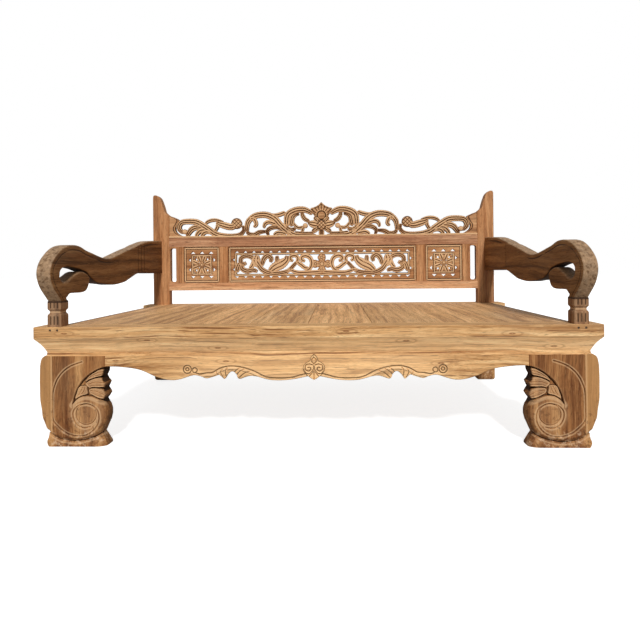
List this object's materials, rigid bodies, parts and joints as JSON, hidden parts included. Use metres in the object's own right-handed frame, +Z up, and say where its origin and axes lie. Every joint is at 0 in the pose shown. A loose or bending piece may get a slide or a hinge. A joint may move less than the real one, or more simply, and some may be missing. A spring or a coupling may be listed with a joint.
{
  "type": "daybed",
  "caption": "Low wooden daybed with carved scroll legs, scrolled arms, a plank deck and a pierced, carved backrest.",
  "frame": {"origin": "on the floor, midway along the length and midway through the overall depth", "axes": "+X along the daybed to the sitter's left, seen from the front to the viewer's right; +Y from front to back; +Z up"},
  "size_m": [2.112, 1.2, 1.1069],
  "materials": {
    "rail_teak": "oiled, lightly weathered honey teak",
    "deck_teak": "oiled, slightly greyed teak planks",
    "leg_teak": "oiled brown teak, worn at the edges",
    "arm_teak": "dark aged teak with grey worn ends",
    "back_teak": "oiled reddish teak",
    "carved_teak": "oiled reddish teak, darker in the carving",
    "peg_wood": "dark hardwood end grain"
  },
  "bodies": {
    "root": {"front_rail": "rail_teak", "back_rail": "rail_teak", "side_rail_left": "rail_teak", "side_rail_right": "rail_teak", "centre_cross_rail": "rail_teak", "bearer_front": "rail_teak", "bearer_rear": "rail_teak", "deck_board_1": "deck_teak", "deck_board_2": "deck_teak", "deck_board_3": "deck_teak", "deck_board_4": "deck_teak", "deck_board_5": "deck_teak", "deck_board_6": "deck_teak", "deck_board_7": "deck_teak", "deck_board_8": "deck_teak", "front_apron": "rail_teak", "front_leg_left": "leg_teak", "front_leg_right": "leg_teak", "rear_leg_left": "leg_teak", "rear_leg_right": "leg_teak", "arm_left": "arm_teak", "arm_right": "arm_teak", "arm_post_left": "arm_teak", "arm_post_right": "arm_teak", "arm_post_pegs": "peg_wood", "back_post_left": "back_teak", "back_post_right": "back_teak", "back_top_rail": "back_teak", "back_bottom_rail": "back_teak", "outer_stile_left": "back_teak", "outer_stile_right": "back_teak", "inner_stile_left": "back_teak", "inner_stile_right": "back_teak", "long_panel": "carved_teak", "square_panel_left": "carved_teak", "square_panel_right": "carved_teak", "crest_panel": "carved_teak"}
  },
  "joints": []
}
